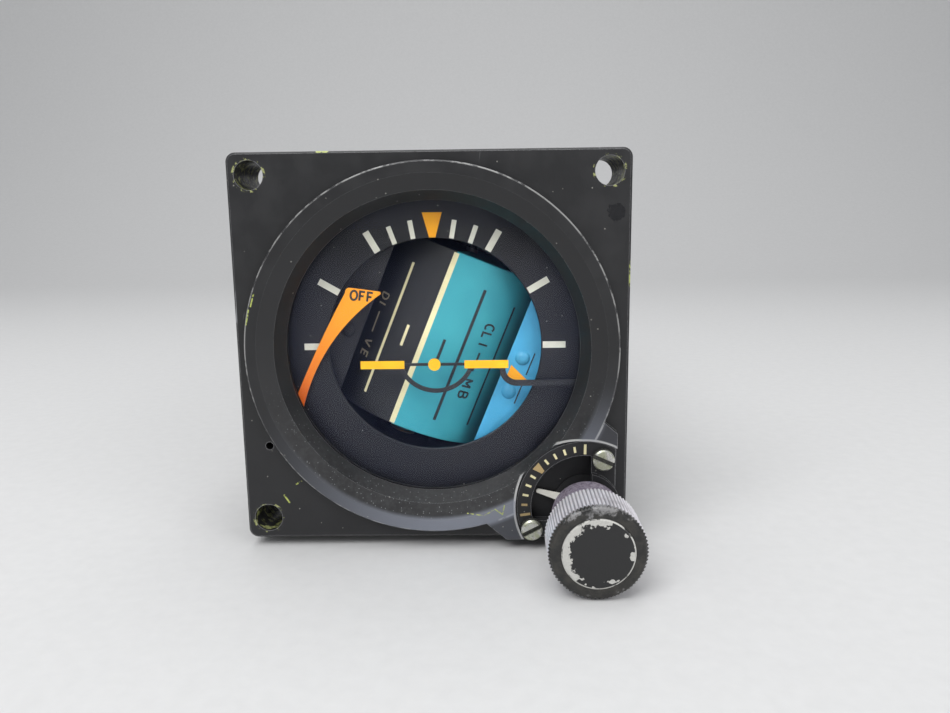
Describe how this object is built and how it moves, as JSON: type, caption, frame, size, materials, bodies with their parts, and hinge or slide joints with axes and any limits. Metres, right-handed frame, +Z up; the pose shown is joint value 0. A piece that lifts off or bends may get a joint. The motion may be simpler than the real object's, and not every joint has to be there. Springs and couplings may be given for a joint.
{
  "type": "attitude indicator",
  "caption": "Round-dial panel attitude indicator in a square flange, with a pull-and-turn knob, warning flag, horizon drum and its own electric gyro in a long round case.",
  "frame": {"origin": "on the display axis, in the flange's front face, where the panel seats", "axes": "+X right, +Y into the instrument along the display axis, +Z up, as seen from the pilot's side"},
  "size_m": [0.0832, 0.2225, 0.0851],
  "materials": {
    "black_paint": "semi-matt black paint worn at the edges",
    "case_black": "satin black paint",
    "dial_black": "matt black with white marks",
    "window_glass": "clear flat glass",
    "seal_rubber": "moulded rubber",
    "bare_aluminium": "machined",
    "frame_black": "matt black anodised",
    "bearing_steel": "ground",
    "screw_steel": "plated, worn",
    "knob_black": "black anodised, worn to bare metal",
    "pointer_white": "matt white paint",
    "brass": "machined",
    "horizon_paint": "matt sky and ground halves",
    "sky_blue_paint": "matt light blue",
    "ground_black_paint": "matt dark grey",
    "flag_orange": "matt orange",
    "symbol_yellow": "matt yellow",
    "symbol_black": "matt black",
    "steel": "ground",
    "board_green": "laminate",
    "winding": "enamelled winding",
    "capacitor_blue": "sleeved",
    "moulded_black": "moulded",
    "rotor_metal": "dense alloy, turned",
    "connector_shell": "dull plated",
    "contact_gold": "gold plated"
  },
  "bodies": {
    "case": {"bezel": "black_paint", "knob_bush": "brass", "case_tube": "case_black", "front_support_ring": "bare_aluminium", "rear_bulkhead": "bare_aluminium", "window_gasket": "seal_rubber", "window_glass": "window_glass", "window_clamp_ring": "frame_black", "bank_scale": "dial_black", "case_front_seal": "seal_rubber", "trim_dial": "dial_black", "trim_dial_screws": "screw_steel", "gear_cover": "case_black", "gear_cover_screws": "screw_steel", "flag_coil": "winding", "case_screws": "screw_steel", "rear_cover": "case_black", "rear_seal": "seal_rubber", "fill_plug": "brass", "connector_shell": "connector_shell", "connector_insert": "moulded_black", "connector_pins": "contact_gold", "connector_screws": "screw_steel", "inverter_board": "board_green", "board_pillars": "bare_aluminium", "inverter_toroid": "winding", "inverter_capacitors": "capacitor_blue", "brush_block": "moulded_black", "cage_rod_guide": "bare_aluminium", "rear_bearing_outer": "bearing_steel"},
    "roll_assembly": {"roll_frame": "frame_black", "sky_plate": "sky_blue_paint", "ground_plate": "ground_black_paint", "plate_screws": "sky_blue_paint", "roll_shaft": "steel", "slip_rings": "contact_gold", "pivot_bushes": "brass", "idler_pins": "steel", "rear_bearing_inner": "bearing_steel"},
    "gyro": {"gyro_housing": "bare_aluminium", "gyro_end_bells": "bare_aluminium", "spin_bearings": "bearing_steel", "pitch_gear": "brass"},
    "rotor": {"gyro_rotor": "rotor_metal"},
    "drum": {"horizon_drum": "horizon_paint", "drum_axle": "steel", "drum_gear": "brass"},
    "idler_a": {"idler_gear_a": "brass"},
    "idler_b": {"idler_gear_b": "brass"},
    "flag": {"off_flag": "flag_orange", "flag_spindle": "steel"},
    "trim": {"trim_sleeve": "frame_black", "trim_pointer": "pointer_white"},
    "pull_knob": {"knob": "knob_black", "knob_cap": "knob_black", "knob_shaft": "steel"},
    "symbol": {"symbol_bars": "symbol_yellow", "symbol_frame": "symbol_black", "symbol_rack": "symbol_black"},
    "cage": {"cage_rod": "steel"}
  },
  "joints": [
    {"name": "roll_turn", "type": "hinge", "parent": "case", "child": "roll_assembly", "pos_m": [0, 0.031, 0], "axis": [0, 1, 0], "continuous": true},
    {"name": "pitch_tilt", "type": "hinge", "parent": "roll_assembly", "child": "gyro", "pos_m": [0, 0.0837, 0], "axis": [-0.3778, 0, -0.9259], "range_deg": [-78.7, 91.3]},
    {"name": "rotor_spin", "type": "hinge", "parent": "gyro", "child": "rotor", "pos_m": [0, 0.0837, 0], "axis": [0.9203, 0.1097, -0.3756], "continuous": true},
    {"name": "idler_a_turn", "type": "hinge", "parent": "roll_assembly", "child": "idler_a", "pos_m": [0, 0.0657, 0], "axis": [-0.3778, 0, -0.9259], "range_deg": [-92, 79.5]},
    {"name": "idler_b_turn", "type": "hinge", "parent": "roll_assembly", "child": "idler_b", "pos_m": [0, 0.0477, 0], "axis": [-0.3778, 0, -0.9259], "range_deg": [-79.5, 92]},
    {"name": "drum_turn", "type": "hinge", "parent": "roll_assembly", "child": "drum", "pos_m": [0, 0.0312, 0], "axis": [-0.3778, 0, -0.9259], "range_deg": [-110, 95]},
    {"name": "flag_swing", "type": "hinge", "parent": "case", "child": "flag", "pos_m": [-0.031, 0.007, -0.017], "axis": [0, -1, 0], "range_deg": [0, 28], "stiffness_Nm_per_rad": 0.0002, "springref_deg": -28.65},
    {"name": "trim_turn", "type": "hinge", "parent": "case", "child": "trim", "pos_m": [0.0322, 0, -0.0341], "axis": [0, 1, 0], "range_deg": [-25, 71]},
    {"name": "knob_pull", "type": "slide", "parent": "trim", "child": "pull_knob", "axis": [0, -1, 0], "range_m": [0, 0.0056], "stiffness_N_per_m": 600, "springref_m": -0.003},
    {"name": "symbol_lift", "type": "slide", "parent": "case", "child": "symbol", "axis": [0, 0, 1], "range_m": [-0.0015, 0.00372]},
    {"name": "cage_slide", "type": "slide", "parent": "case", "child": "cage", "axis": [0, -1, 0], "range_m": [0, 0.0056]}
  ],
  "couplings": [
    {"joint": "idler_a_turn", "follows": "pitch_tilt", "ratio": -1},
    {"joint": "idler_b_turn", "follows": "pitch_tilt", "ratio": 1},
    {"joint": "drum_turn", "follows": "pitch_tilt", "ratio": -1.2},
    {"joint": "symbol_lift", "follows": "trim_turn", "m_per_rad": 0.003},
    {"joint": "cage_slide", "follows": "knob_pull", "ratio": 1}
  ]
}
